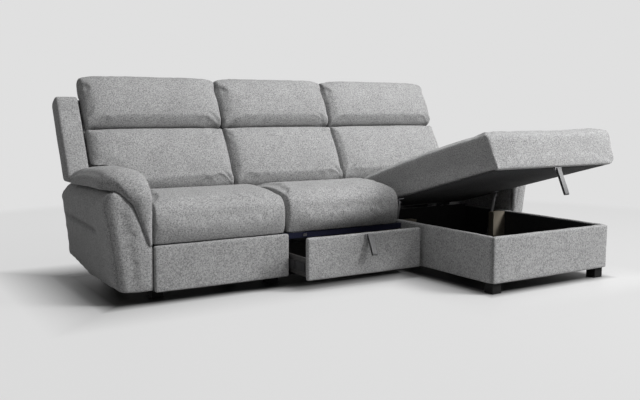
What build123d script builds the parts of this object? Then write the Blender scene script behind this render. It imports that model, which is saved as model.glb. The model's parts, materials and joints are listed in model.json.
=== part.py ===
"""Sofa with two seats, a storage chaise under a lifting seat, and a drawer under the middle seat."""

import os
from math import copysign, cos, radians, sin

from build123d import *

os.makedirs("parts", exist_ok=True)

# Widths across the sofa, from left to right
arm_flare = 60.0
left_arm_width = 154.0
left_seat_width = 674.0
middle_seat_width = 678.0
chaise_gap = 20.0
chaise_width = 789.0
arm_gap = 5.0
right_arm_width = 84.0

# Depths measured from the fronts of the seats
chaise_reach = 660.0
rear_reach = 863.44
arm_setback = 8.0
arm_depth = 832.0
base_depth = 795.0
storage_setback = 376.0
hinge_setback = 470.0
back_setback = 524.0

# Heights
foot_height = 51.0
base_top = 255.0
box_top = 274.0
arm_top = 515.0
deck_height = 400.0
crease_height = 442.0

# Sheet and board thicknesses
board = 18.0
cover = 6.0
sheet = 2.0
strap = 3.0
soft_gap = 0.3

# Crowning of the cushions, by shares of their width
crown_stations = (0.0, 0.06, 0.16, 0.32, 0.5, 0.68, 0.84, 0.94, 1.0)
crown_power = 6

# Feet
foot_side = 54.0
foot_inset = 14.0
main_foot_inset = 24.0
main_foot_setback = 110.0

# Seat cushions
seat_crown = 36.0
seat_crown_drop = 4.0
seat_edge_top = 442.0
seat_rear_top = 426.0
seat_shoulder = 392.0
seat_nose = 10.0
seat_roll = 72.0
seat_draw = 12.0
seat_rear_gap = 12.0
strap_width = 60.0
strap_count = 5

# Back, leaning, with heights measured up its slope
back_lean = 26.1
lumbar_height = 349.0
back_seam = 7.0
headrest_height = 291.5
lumbar_bulge = 46.0
headrest_bulge = 52.0
cushion_back = 45.0
headrest_rear = 72.0
notch_clearance = 5.0
back_draw = 24.0
frame_slope_height = 520.0
post_width = 40.0
post_depth = 30.0
rail_depth = 14.0
rail_height = 40.0
back_strap_count = 6
left_back_overlap = 95.0
left_back_shift = 22.0
middle_back_shift = 12.0
right_back_inset = 51.0
wing_width = 104.0
wing_round = 30.0

# Arms
arm_flare_height = 430.0
arm_flare_inset = 9.0
arm_shoulder = 34.0
arm_front_round = 40.0
arm_core_inset = 22.0
arm_core_width = 40.0
arm_core_margin = 70.0
arm_core_rail = 44.0
arm_rear_rake = 66.0
arm_rear_height = 440.0
arm_rear_slope = 120.0
heel_run = 365.0
heel_rise = 57.0
pad_thickness = 92.0
pad_rear_thickness = 74.0
pad_fall_thickness = 40.0
pad_tip_thickness = 30.0
pad_inner_gap = 1.0
pad_rear_setback = 540.0
pad_sink = 10.0
pad_turn = 96.0
pad_turn_steps = 5
pad_front_inset = 26.0
pad_rear_turn = -4.0
pad_fall_turn = 86.0
pad_tip_turn = 89.0
pad_fall_share = 0.42
pad_tip_share = 0.14
pad_brow_share = 0.85
pad_cheek_share = 0.3
pad_tip_height = 258.0
pad_bulge = 6.0
pad_cut_gap = 0.8

# Chaise box and its lifting seat
box_floor_lift = 10.0
floor_board = 12.0
rim_gap = 2.0
lid_open = 15.0
lid_overhang = 38.0
lid_board = 15.0
lid_lining = 1.2
lid_height = 170.0
lid_crown = 14.0
lid_rear_slope = 50.0
lid_rear_gap = 12.0
lid_rear_clearance = 1.0
lid_shoulder = 44.0
lid_bulge = 14.0
lid_margin = 6.0

# Lid hinges
hinge_pin_r = 4.0
knuckle_r = 9.0
knuckle_length = 30.0
hinge_fit = 0.05
hinge_play = 0.3
hinge_leaf = 3.0
hinge_leaf_reach = 58.0
hinge_leaf_drop = 42.0
hinge_inset = 120.0

# Gas struts, placed from the lid hinge axis with the lid closed
strut_wall_gap = 20.0
strut_lid_reach = 378.0
strut_lid_drop = 17.0
strut_foot_setback = 164.0
strut_foot_height = 95.0
cylinder_r = 9.0
cylinder_start = 12.0
cylinder_length = 123.0
rod_r = 4.0
rod_fit = 0.05
rod_length = 152.0
cylinder_cap = 10.0
eye_r = 8.0
eye_width = 10.0
strut_pin_r = 3.0
open_pivot_play = 1.6
bracket_plate = 3.0
bracket_side = 44.0
bracket_clearance = 4.0
block_width = 88.0
block_depth = 40.0
block_setback = 38.0
block_drop = 9.0

# Drawer and its slides
drawer_out = 168.0
drawer_front_gap = 4.0
drawer_front_lift = 5.0
drawer_depth = 440.0
drawer_wall = 12.0
drawer_base = 6.0
drawer_wall_top = 158.0
drawer_wall_bottom = 75.0
header_setback = 30.0
header_height = 27.0
slide_bar = 4.0
slide_gap = 0.3
slide_height = 42.0
slide_length = 400.0
slide_setback = 44.0
slide_low = 92.0
clip_width = 22.0
clip_height = 12.0
clip_offset = 95.0

# Strap pulls
pull_lean = 25.0
drawer_pull_length = 104.0
lid_pull_length = 135.0
pull_width = 34.0
pull_band = 10.0
pull_round = 16.0
pull_thickness = 5.0
pull_pin_r = 2.0
pull_pin_fit = 0.05
pull_barrel_r = 5.0
pull_stand = 8.0
pull_lug = 4.0
pull_plate = 2.0
pull_side_play = 0.4
pull_lid_inset = 16.0
drawer_pull_drop = 9.0
drawer_pull_offset = 8.0
lid_pull_offset = 30.0


def span_box(x_span, y_span, z_span):
    """Add a box between two limits on each axis to the sub-part that is open."""
    spans = (x_span, y_span, z_span)
    with Locations(tuple((low + high) / 2 for low, high in spans)):
        Box(*(high - low for low, high in spans))


def save(piece, name):
    """Label a finished sub-part and write it to its own file."""
    piece.label = name
    export_step(piece, f"parts/{name}.step")


# Layout across
total_width = (
    2 * arm_flare + left_arm_width + left_seat_width + middle_seat_width
    + chaise_gap + chaise_width + arm_gap + right_arm_width
)
arm_left_x = -total_width / 2 + arm_flare
seat_left_x = arm_left_x + left_arm_width
seat_mid_x = seat_left_x + left_seat_width
seat_right_x = seat_mid_x + middle_seat_width
chaise_left_x = seat_right_x + chaise_gap
chaise_right_x = chaise_left_x + chaise_width
arm_inner_x = chaise_right_x + arm_gap
arm_right_x = arm_inner_x + right_arm_width
back_xs = (
    seat_left_x - left_back_overlap,
    seat_mid_x - left_back_shift,
    seat_right_x - middle_back_shift,
    chaise_right_x - right_back_inset,
)

# Layout from front to back, with the bounding box centred on the origin
pull_sin = sin(radians(pull_lean))
pull_cos = cos(radians(pull_lean))
lid_sin = sin(radians(lid_open))
lid_cos = cos(radians(lid_open))
lid_reach = hinge_setback + chaise_reach + lid_overhang
lid_pull_run = hinge_setback - (lid_reach - pull_lid_inset) * lid_cos - (pull_stand - hinge_leaf) * lid_sin
pull_reach = -lid_pull_run + lid_pull_length * pull_sin + pull_thickness / 2 * pull_cos
seat_front_y = (pull_reach - rear_reach) / 2
chaise_front_y = seat_front_y - chaise_reach
arm_front_y = seat_front_y + arm_setback
arm_rear_y = arm_front_y + arm_depth
base_rear_y = seat_front_y + base_depth
storage_rear_y = seat_front_y + storage_setback
hinge_y = seat_front_y + hinge_setback
hinge_z = box_top + rim_gap - hinge_leaf
back_y = seat_front_y + back_setback
rail_y = hinge_y + knuckle_r + hinge_leaf
rail_rear_y = rail_y + post_width
frame_z = foot_height + sheet
seat_floor = base_top + strap + soft_gap

# Slanted frames
lean_sin = sin(radians(back_lean))
lean_cos = cos(radians(back_lean))
lid_plane = Plane(origin=(0, hinge_y, hinge_z), x_dir=(1, 0, 0), z_dir=(0, lid_sin, lid_cos))


def across(x):
    """A plane that faces sideways at x, with its own axes to the back and up."""
    return Plane(origin=(x, 0, 0), x_dir=(0, 1, 0), z_dir=(1, 0, 0))


def back_plane(x):
    """A plane that faces sideways at x, with its own axes up the slope and out of the back."""
    return Plane(origin=(x, back_y, crease_height), x_dir=(0, lean_sin, lean_cos), z_dir=(1, 0, 0))


def slope_at(height, depth):
    """How far up the slope the back reaches a height, at a depth out of the crease plane."""
    return (height - crease_height - depth * lean_sin) / lean_cos


def lid_side(x):
    """A plane that faces sideways at x, with its own axes along the lid and out of it."""
    return Plane(origin=lid_plane.from_local_coords((x, 0, 0)), x_dir=lid_plane.y_dir, z_dir=lid_plane.x_dir)


# Feet and base
with BuildPart() as main_feet:
    main_foot_y = arm_front_y + main_foot_setback
    main_foot_rear_y = base_rear_y - main_foot_setback - foot_side
    for foot_x in (seat_left_x + main_foot_inset, seat_mid_x - foot_side):
        for foot_y in (main_foot_y, main_foot_rear_y):
            span_box((foot_x, foot_x + foot_side), (foot_y, foot_y + foot_side), (0, foot_height))
    arm_foot_x = arm_inner_x + foot_inset
    arm_foot_y = arm_rear_y - heel_run - foot_side
    span_box((arm_foot_x, arm_foot_x + foot_side), (arm_foot_y, arm_foot_y + foot_side), (0, foot_height))
save(main_feet.part, "main_feet")

with BuildPart() as chaise_feet:
    for foot_x in (chaise_left_x + foot_inset, chaise_right_x - foot_inset - foot_side):
        for foot_y in (chaise_front_y + foot_inset, storage_rear_y - foot_side):
            span_box((foot_x, foot_x + foot_side), (foot_y, foot_y + foot_side), (0, foot_height))
save(chaise_feet.part, "chaise_feet")

with BuildPart() as dust_cover:
    span_box((seat_left_x, chaise_left_x), (seat_front_y + cover + board, base_rear_y - cover),
             (foot_height, frame_z))
save(dust_cover.part, "dust_cover")

with BuildPart() as left_front_board:
    board_y = (seat_front_y + cover, seat_front_y + cover + board)
    span_box((seat_left_x, seat_mid_x), board_y, (frame_z, base_top))
save(left_front_board.part, "left_front_board")

with BuildPart() as left_front_cover:
    span_box((seat_left_x, seat_mid_x), (seat_front_y, seat_front_y + cover), (foot_height, base_top))
    fillet(left_front_cover.faces().sort_by(Axis.Y)[0].edges(), cover / 2)
save(left_front_cover.part, "left_front_cover")

divider_y = (seat_front_y + cover + board, base_rear_y - cover - board)
with BuildPart() as base_dividers:
    divider_spans = (
        (seat_left_x, seat_left_x + board),
        (seat_mid_x - board, seat_mid_x),
        (seat_right_x, chaise_left_x),
    )
    for divider_x in divider_spans:
        span_box(divider_x, divider_y, (frame_z, base_top - header_height))
save(base_dividers.part, "base_dividers")

with BuildPart() as rear_base_board:
    span_box((seat_left_x, arm_inner_x), (base_rear_y - cover - board, base_rear_y - cover),
             (frame_z, deck_height - cover))
save(rear_base_board.part, "rear_base_board")

outer_face = -cushion_back - strap - post_depth - rail_depth
deck_front_y = back_y + slope_at(deck_height, outer_face - cover) * lean_sin - (outer_face - cover) * lean_cos
with BuildPart() as rear_base_cover:
    rear_x = (seat_left_x, arm_inner_x)
    deck_low = deck_height - cover
    span_box(rear_x, (base_rear_y - cover, base_rear_y), (foot_height, deck_low))
    span_box(rear_x, (deck_front_y + soft_gap, base_rear_y), (deck_low, deck_height))
save(rear_base_cover.part, "rear_base_cover")

with BuildPart() as rear_seat_rail:
    span_box((seat_left_x, arm_inner_x), (rail_y, rail_rear_y), (base_top - header_height, base_top))
save(rear_seat_rail.part, "rear_seat_rail")

header_y = seat_front_y + header_setback
with BuildPart() as drawer_header:
    span_box((seat_mid_x - board, chaise_left_x), (header_y, header_y + board),
             (base_top - header_height, base_top))
save(drawer_header.part, "drawer_header")

with BuildPart() as drawer_clip:
    clip_x = seat_mid_x + clip_offset
    clip_z = base_top - header_height / 2
    span_box((clip_x, clip_x + clip_width), (header_y - strap, header_y),
             (clip_z - clip_height / 2, clip_z + clip_height / 2))
    fillet(drawer_clip.edges().filter_by(Axis.Y), clip_height / 4)
save(drawer_clip.part, "drawer_clip")


# Seat cushions on their webbing
seat_back_y = back_y - seat_rear_gap


def seat_outline(x, drawn):
    """The side outline of a seat cushion at x, drawn in towards its ends by a share from 0 to 1."""
    front = seat_front_y - seat_nose + drawn * seat_draw
    edge_top = seat_edge_top - drawn * seat_draw
    crown = edge_top + seat_crown - drawn * seat_crown_drop
    shoulder = seat_shoulder - drawn * seat_draw
    rear_top = seat_rear_top - drawn * seat_draw
    foot = (seat_front_y + drawn * seat_draw, seat_floor)
    nose = (front + seat_nose / 2, shoulder)
    roll = (front + seat_roll, edge_top + seat_nose)
    with BuildSketch(across(x)) as outline:
        with BuildLine():
            Line((seat_back_y, seat_floor), foot)
            ThreePointArc(foot, (front, (seat_floor + shoulder) / 2), nose)
            ThreePointArc(nose, (front + seat_roll / 3, edge_top - seat_nose), roll)
            ThreePointArc(roll, ((roll[0] + seat_back_y) / 2, crown), (seat_back_y, rear_top))
            Line((seat_back_y, rear_top), (seat_back_y, seat_floor))
        make_face()
    return outline.sketch


def crowned(outline, left, right):
    """A cushion between two sides, fullest in the middle and drawn in towards its ends."""
    sections = []
    for station in crown_stations:
        drawn = abs(2 * station - 1) ** crown_power
        sections.append(outline(left + (right - left) * station, drawn))
    with BuildPart() as cushion:
        loft(sections)
    return cushion.part


with BuildPart() as left_seat_cushion:
    add(crowned(seat_outline, seat_left_x + soft_gap, seat_mid_x - soft_gap))
save(left_seat_cushion.part, "left_seat_cushion")

with BuildPart() as middle_seat_cushion:
    add(crowned(seat_outline, seat_mid_x + soft_gap, seat_right_x - soft_gap))
save(middle_seat_cushion.part, "middle_seat_cushion")

with BuildPart() as seat_webbing:
    for left, width in ((seat_left_x, left_seat_width), (seat_mid_x, middle_seat_width)):
        for number in range(strap_count):
            strap_x = left + width * (number + 0.5) / strap_count
            span_box((strap_x - strap_width / 2, strap_x + strap_width / 2), (header_y, rail_rear_y),
                     (base_top, base_top + strap))
save(seat_webbing.part, "seat_webbing")


# Back frame
def slope_bar(left, right, low, high, deep, shallow):
    """Add a bar on the back between two sides, two slope heights and two depths."""
    with BuildSketch(back_plane(left)) as bar:
        with Locations(((low + high) / 2, (deep + shallow) / 2)):
            Rectangle(high - low, shallow - deep)
    extrude(bar.sketch, amount=right - left)


post_front = -cushion_back - strap
post_rear = post_front - post_depth
frame_left_x = seat_left_x + soft_gap
post_foot = post_depth / lean_cos
post_low = base_top - header_height


def back_point(slope, depth):
    """A point of the back's side outline, to the back and up, from its slope height and depth."""
    return (back_y + slope * lean_sin - depth * lean_cos, crease_height + slope * lean_cos + depth * lean_sin)


def height_at(y, depth):
    """How high the back stands where it passes a place from front to back, at a depth."""
    return back_point((y - back_y + depth * lean_cos) / lean_sin, depth)[1]


with BuildPart() as back_posts:
    post_xs = (
        frame_left_x,
        back_xs[1] - post_width / 2,
        back_xs[2] - post_width / 2,
        back_xs[3] - post_width,
    )
    for post_x in post_xs:
        with BuildSketch(across(post_x)) as post:
            with BuildLine():
                Polyline(
                    (rail_rear_y, post_low),
                    (rail_rear_y, height_at(rail_rear_y, post_front)),
                    back_point(frame_slope_height, post_front),
                    back_point(frame_slope_height, post_rear),
                    (rail_rear_y + post_foot, height_at(rail_rear_y + post_foot, post_rear)),
                    (rail_rear_y + post_foot, post_low),
                    close=True,
                )
            make_face()
        extrude(post.sketch, amount=post_width)
save(back_posts.part, "back_posts")

with BuildPart() as back_rails:
    deck_slope = slope_at(deck_height, outer_face)
    for low in (deck_slope, lumbar_height - rail_height, frame_slope_height - rail_height):
        slope_bar(frame_left_x, back_xs[3], low, low + rail_height, outer_face, post_rear)
save(back_rails.part, "back_rails")

with BuildPart() as back_webbing:
    for number in range(back_strap_count):
        low = frame_slope_height * (number + 0.5) / back_strap_count - strap_width / 2
        slope_bar(frame_left_x, back_xs[3], low, low + strap_width, post_front, post_front + strap)
save(back_webbing.part, "back_webbing")

with BuildPart() as outer_back_cover:
    slope_bar(frame_left_x, back_xs[3], deck_slope, frame_slope_height, outer_face - cover, outer_face)
save(outer_back_cover.part, "outer_back_cover")

wing_low = arm_top + soft_gap
wing_rear = outer_face - cover


def wing_outline(x, front):
    """The side outline of the wing of the back at x, from its front depth to the outer back."""
    with BuildSketch(back_plane(x)) as outline:
        with BuildLine():
            Polyline(
                (slope_at(wing_low, front), front),
                (frame_slope_height, front),
                (frame_slope_height, wing_rear),
                (slope_at(wing_low, wing_rear), wing_rear),
                close=True,
            )
        make_face()
    return outline.sketch


wing_inner_x = back_xs[0] - soft_gap
with BuildPart() as left_wing:
    extrude(wing_outline(wing_inner_x - wing_width, 0), amount=wing_width)
    fillet(left_wing.edges().filter_by(Axis.X).sort_by(Axis.Z)[-2:], wing_round)
    fillet(left_wing.faces().sort_by(Axis.X)[0].edges().sort_by(Axis.Z)[1:], wing_round / 3)
    extrude(wing_outline(wing_inner_x, post_front), amount=seat_left_x - wing_inner_x)
save(left_wing.part, "left_wing")


# Back cushions
def lumbar_outline(x, drawn):
    """The side outline of a lumbar cushion at x, drawn in towards its ends by a share from 0 to 1."""
    bulge = lumbar_bulge - drawn * back_draw
    low = drawn * back_draw / 3
    high = lumbar_height - drawn * back_draw / 3
    rear = -cushion_back + soft_gap
    foot = (low, -lumbar_bulge / 2)
    roll = (low + lumbar_bulge * 1.7, bulge * 0.8)
    brow = (high - lumbar_bulge, bulge * 0.6)
    head = (high, -lumbar_bulge / 4)
    with BuildSketch(back_plane(x)) as outline:
        with BuildLine():
            Line((high, rear), (low, rear))
            Line((low, rear), foot)
            ThreePointArc(foot, (low + lumbar_bulge * 0.4, bulge * 0.35), roll)
            ThreePointArc(roll, ((roll[0] + brow[0]) / 2, bulge), brow)
            ThreePointArc(brow, (high - lumbar_bulge * 0.25, bulge * 0.25), head)
            Line(head, (high, rear))
        make_face()
    return outline.sketch


def headrest_outline(x, drawn):
    """The side outline of a headrest at x, drawn in towards its ends by a share from 0 to 1."""
    bulge = headrest_bulge - drawn * back_draw
    low = lumbar_height + back_seam + drawn * back_draw / 4
    high = low + headrest_height - drawn * back_draw
    front = -cushion_back + soft_gap
    step = frame_slope_height + cover
    rear = -headrest_rear + drawn * back_draw / 3
    foot = (low, -headrest_bulge / 4)
    roll = (low + headrest_bulge, bulge * 0.8)
    brow = (high - headrest_bulge * 1.3, bulge * 0.75)
    head = (high, -headrest_bulge * 0.55)
    nape = (high - headrest_bulge * 0.7, rear)
    with BuildSketch(back_plane(x)) as outline:
        with BuildLine():
            Line((step, front), (low, front))
            Line((low, front), foot)
            ThreePointArc(foot, (low + headrest_bulge * 0.2, bulge * 0.4), roll)
            ThreePointArc(roll, ((roll[0] + brow[0]) / 2, bulge), brow)
            ThreePointArc(brow, (high - headrest_bulge * 0.28, bulge * 0.35), head)
            ThreePointArc(head, (high - headrest_bulge * 0.16, rear * 0.85), nape)
            Line(nape, (step, rear))
            Line((step, rear), (step, front))
        make_face()
    return outline.sketch


for place, left, right in zip(("left", "middle", "right"), back_xs[:3], back_xs[1:]):
    with BuildPart() as lumbar:
        add(crowned(lumbar_outline, left + soft_gap, right - soft_gap))
        if left < seat_left_x:
            notch_top = arm_top - 2 * pad_sink + pad_rear_thickness + notch_clearance
            notch_height = notch_top - deck_height
            with Locations((left, back_y, deck_height + notch_height / 2)):
                Box(2 * (left_back_overlap + soft_gap), 2 * back_setback, notch_height, mode=Mode.SUBTRACT)
    save(lumbar.part, f"{place}_lumbar")
    with BuildPart() as headrest:
        add(crowned(headrest_outline, left + soft_gap, right - soft_gap))
    save(headrest.part, f"{place}_headrest")


# Arms, drawn for one side and mirrored by the outward direction
def pad_outline(inner, outer, y, z, turn, thickness, grow):
    """A cross-section of an arm pad between its two sides, turned down, or of the cut that holds the pad."""
    tilt = radians(turn)
    width = abs(outer - inner) - 2 * pad_bulge
    shoulder = min(width / 4, thickness / 3)
    centre = ((inner + outer) / 2, y, z)
    facing = copysign(1, outer - inner)
    plane = Plane(origin=centre, x_dir=(facing, 0, 0), z_dir=(0, -facing * cos(tilt), -facing * sin(tilt)))
    low = -grow
    cheek = thickness * pad_cheek_share
    brow = thickness * pad_brow_share + grow
    top = thickness + grow
    out = width / 2 + grow
    tuck = -width / 2 - (shoulder + 2 * pad_bulge if grow else 0)
    with BuildSketch(plane) as outline:
        with BuildLine():
            Line((tuck, low), (out, low))
            ThreePointArc((out, low), (out + pad_bulge, cheek), (out - shoulder, brow))
            ThreePointArc((out - shoulder, brow), (0, top), (tuck + shoulder, brow))
            ThreePointArc((tuck + shoulder, brow), (tuck - pad_bulge, cheek), (tuck, low))
        make_face()
    return outline.sketch


def arm_pad(inner, outer, grow=0.0):
    """An arm pad along the top of an arm, round its front and down the inner edge to a point."""
    turn_y = arm_front_y + pad_turn
    turn_z = arm_top - pad_sink - pad_turn + pad_front_inset
    radius = pad_turn - pad_front_inset
    rear_y = arm_front_y + pad_rear_setback
    middle_y = arm_front_y + pad_rear_setback / 2
    sections = [
        pad_outline(inner, outer, rear_y, arm_top - 2 * pad_sink, pad_rear_turn, pad_rear_thickness, grow),
        pad_outline(inner, outer, middle_y, arm_top - pad_sink, 0, pad_thickness, grow),
    ]
    for step in range(pad_turn_steps + 1):
        share = step / pad_turn_steps
        turn = pad_fall_turn * share
        y = turn_y - radius * sin(radians(turn))
        z = turn_z + radius * cos(radians(turn))
        side = inner + (outer - inner) * (1 - (1 - pad_fall_share) * share)
        thickness = pad_thickness + (pad_fall_thickness - pad_thickness) * share
        sections.append(pad_outline(inner, side, y, z, turn, thickness, grow))
    tip_side = inner + (outer - inner) * pad_tip_share
    tip_y = arm_front_y + pad_front_inset
    tip = pad_outline(inner, tip_side, tip_y, pad_tip_height, pad_tip_turn, pad_tip_thickness, grow)
    with BuildPart() as pad:
        loft(sections + [tip], ruled=True)
    return pad.part


def arm_core(outward, inner):
    """The limits of the frame inside an arm, across and from front to back."""
    near = inner + outward * arm_core_inset
    far = near + outward * arm_core_width
    xs = (min(near, far), max(near, far))
    return xs, (arm_front_y + arm_core_margin, arm_rear_y - 2 * arm_core_margin)


def heel_cut():
    """The wedge under the rear of an arm, where its lower edge rises."""
    with BuildPart() as wedge:
        with BuildSketch(across(-total_width / 2)) as side:
            with BuildLine():
                Polyline(
                    (arm_rear_y - heel_run, foot_height),
                    (arm_rear_y, foot_height + heel_rise),
                    (arm_rear_y, foot_height),
                    close=True,
                )
            make_face()
        extrude(side.sketch, amount=total_width)
    return wedge.part


def arm_body(outward, inner, outer, pad):
    """An arm with a flared side, a raked rear end and a hollow for its frame."""
    flared = outer + outward * (arm_flare - arm_flare_inset)
    shelf = flared - outward * arm_shoulder
    core_x, core_y = arm_core(outward, inner)
    core_height = arm_top - arm_core_margin - foot_height
    flare_rise = arm_flare_height - foot_height
    with BuildPart() as body:
        with BuildSketch(Plane.XZ.offset(-arm_front_y)) as front:
            with BuildLine():
                Line((inner, foot_height), (outer, foot_height))
                Line((outer, foot_height), (flared, arm_flare_height))
                TangentArc((flared, arm_flare_height), (shelf, arm_top), tangent=(flared - outer, flare_rise))
                Line((shelf, arm_top), (inner, arm_top))
                Line((inner, arm_top), (inner, foot_height))
            make_face()
        extrude(front.sketch, amount=-arm_depth)
        front_edges = body.faces().sort_by(Axis.Y)[0].edges().sort_by(Axis.X)
        fillet(front_edges[0 if outward < 0 else -1], arm_front_round)
        with BuildSketch(across(-total_width / 2)) as rake:
            with BuildLine():
                Polyline(
                    (arm_rear_y, foot_height),
                    (arm_rear_y - arm_rear_rake, arm_rear_height),
                    (arm_rear_y - arm_rear_rake - arm_rear_slope, arm_top),
                    (arm_rear_y - arm_rear_rake - arm_rear_slope, arm_top + arm_shoulder),
                    (arm_rear_y + arm_shoulder, arm_top + arm_shoulder),
                    (arm_rear_y + arm_shoulder, foot_height),
                    close=True,
                )
            make_face()
        extrude(rake.sketch, amount=total_width, mode=Mode.SUBTRACT)
        with BuildSketch(across(-total_width / 2)) as brow:
            with Locations((arm_front_y, arm_top)):
                Rectangle(2 * arm_front_round, 2 * arm_front_round)
            with Locations((arm_front_y + arm_front_round, arm_top - arm_front_round)):
                Circle(arm_front_round, mode=Mode.SUBTRACT)
        extrude(brow.sketch, amount=total_width, mode=Mode.SUBTRACT)
        with Locations((sum(core_x) / 2, sum(core_y) / 2, foot_height + core_height / 2)):
            Box(arm_core_width, core_y[1] - core_y[0], core_height, mode=Mode.SUBTRACT)
        add(pad, mode=Mode.SUBTRACT)
        add(heel_cut(), mode=Mode.SUBTRACT)
    return body.part


def arm_frame(outward, inner):
    """The posts and rails inside an arm."""
    core_x, core_y = arm_core(outward, inner)
    core_z = (foot_height, arm_top - arm_core_margin)
    with BuildPart() as frame:
        span_box(core_x, (core_y[0], core_y[0] + arm_core_rail), core_z)
        span_box(core_x, (core_y[1] - arm_core_rail, core_y[1]), core_z)
        rail_span = (core_y[0] + arm_core_rail, core_y[1] - arm_core_rail)
        for low in (core_z[0], core_z[1] - arm_core_rail):
            span_box(core_x, rail_span, (low, low + arm_core_rail))
        add(heel_cut(), mode=Mode.SUBTRACT)
    return frame.part


arm_sides = (
    ("left", -1, seat_left_x, arm_left_x, seat_left_x - pad_inner_gap),
    ("right", 1, arm_inner_x, arm_right_x, arm_inner_x + pad_inner_gap),
)
for side, outward, inner, outer, pad_inner in arm_sides:
    pad_outer = outer + outward * arm_flare
    with BuildPart() as pad:
        add(arm_pad(pad_inner, pad_outer))
    save(pad.part, f"{side}_arm_pad")
    with BuildPart() as body:
        add(arm_body(outward, inner, outer, arm_pad(pad_inner, pad_outer, pad_cut_gap)))
    save(body.part, f"{side}_arm_body")
    with BuildPart() as frame:
        add(arm_frame(outward, inner))
    save(frame.part, f"{side}_arm_frame")


# Chaise box
box_left = chaise_left_x + cover
box_right = chaise_right_x - cover
box_front = chaise_front_y + cover
box_bottom = foot_height
with BuildPart() as chaise_front_board:
    span_box((box_left, box_right), (box_front, box_front + board), (box_bottom, box_top))
save(chaise_front_board.part, "chaise_front_board")

with BuildPart() as chaise_side_boards:
    for side_x in (box_left, box_right - board):
        span_box((side_x, side_x + board), (box_front + board, storage_rear_y), (box_bottom, box_top))
save(chaise_side_boards.part, "chaise_side_boards")

with BuildPart() as chaise_rear_board:
    span_box((box_left, box_right), (storage_rear_y, storage_rear_y + board), (box_bottom, box_top))
save(chaise_rear_board.part, "chaise_rear_board")

floor_z = box_bottom + box_floor_lift
with BuildPart() as chaise_floor_board:
    span_box((box_left + board, box_right - board), (box_front + board, storage_rear_y),
             (floor_z, floor_z + floor_board))
save(chaise_floor_board.part, "chaise_floor_board")

with BuildPart() as chaise_front_cover:
    span_box((chaise_left_x, chaise_right_x), (chaise_front_y, box_front), (box_bottom, box_top))
    fillet(chaise_front_cover.faces().sort_by(Axis.Y)[0].edges(), cover / 2)
save(chaise_front_cover.part, "chaise_front_cover")

with BuildPart() as chaise_side_covers:
    for side_x in (chaise_left_x, box_right):
        span_box((side_x, side_x + cover), (box_front, storage_rear_y + board), (box_bottom, box_top))
save(chaise_side_covers.part, "chaise_side_covers")

block_y = seat_front_y + block_setback
with BuildPart() as strut_blocks:
    for block_x in (box_left + board, box_right - board - block_width):
        span_box((block_x, block_x + block_width), (block_y, block_y + block_depth),
                 (floor_z + floor_board, box_top - block_drop))
save(strut_blocks.part, "strut_blocks")


# Lid hinges
hinge_xs = (chaise_left_x + hinge_inset, chaise_right_x - hinge_inset)


def barrel_plane(x):
    """A plane across a hinge pin at x, facing sideways."""
    return Plane(origin=(x, hinge_y, hinge_z), x_dir=(0, 1, 0), z_dir=(1, 0, 0))


with BuildPart() as hinge_fixed_leaves:
    for hinge_x in hinge_xs:
        for knuckle_x in (hinge_x - 1.5 * knuckle_length, hinge_x + 0.5 * knuckle_length):
            with BuildSketch(barrel_plane(knuckle_x)) as knuckle:
                Circle(knuckle_r)
                with Locations((knuckle_r + hinge_leaf / 2, -hinge_leaf_drop / 2)):
                    Rectangle(hinge_leaf, hinge_leaf_drop)
                with Locations((knuckle_r / 2 + hinge_leaf / 2, -hinge_leaf / 2)):
                    Rectangle(knuckle_r + hinge_leaf, hinge_leaf)
                Circle(hinge_pin_r, mode=Mode.SUBTRACT)
            extrude(knuckle.sketch, amount=knuckle_length)
save(hinge_fixed_leaves.part, "hinge_fixed_leaves")

with BuildPart() as hinge_pins:
    for hinge_x in hinge_xs:
        with BuildSketch(barrel_plane(hinge_x - 1.5 * knuckle_length)) as pin:
            Circle(hinge_pin_r)
        extrude(pin.sketch, amount=3 * knuckle_length)
save(hinge_pins.part, "hinge_pins")

with BuildPart() as hinge_lid_leaves:
    for hinge_x in hinge_xs:
        with BuildSketch(lid_side(hinge_x - 0.5 * knuckle_length + hinge_play)) as knuckle:
            Circle(knuckle_r)
            with Locations((-hinge_leaf_reach / 2, hinge_leaf / 2)):
                Rectangle(hinge_leaf_reach, hinge_leaf)
            Circle(hinge_pin_r + hinge_fit, mode=Mode.SUBTRACT)
        extrude(knuckle.sketch, amount=knuckle_length - 2 * hinge_play)
save(hinge_lid_leaves.part, "hinge_lid_leaves")


# Lid
def lid_box(x_span, run_span, lift_span):
    """Add a box between limits across, along and out of the lid to the sub-part that is open."""
    with BuildSketch(lid_plane.offset(lift_span[0])) as slab:
        with Locations((sum(x_span) / 2, sum(run_span) / 2)):
            Rectangle(x_span[1] - x_span[0], run_span[1] - run_span[0])
    extrude(slab.sketch, amount=lift_span[1] - lift_span[0])


lid_top = hinge_leaf + lid_board
lid_rear = -knuckle_r - lid_rear_clearance
with BuildPart() as lid_board_panel:
    lid_box((box_left, box_right), (-lid_reach + lid_margin, lid_rear), (hinge_leaf, lid_top))
save(lid_board_panel.part, "lid_board")

with BuildPart() as lid_lining_sheet:
    lining_run = (-lid_reach + 4 * lid_margin, -hinge_leaf_reach - lid_margin)
    lining_lift = (hinge_leaf - lid_lining, hinge_leaf)
    lid_box((box_left + lid_margin, box_right - lid_margin), lining_run, lining_lift)
save(lid_lining_sheet.part, "lid_lining")


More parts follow.
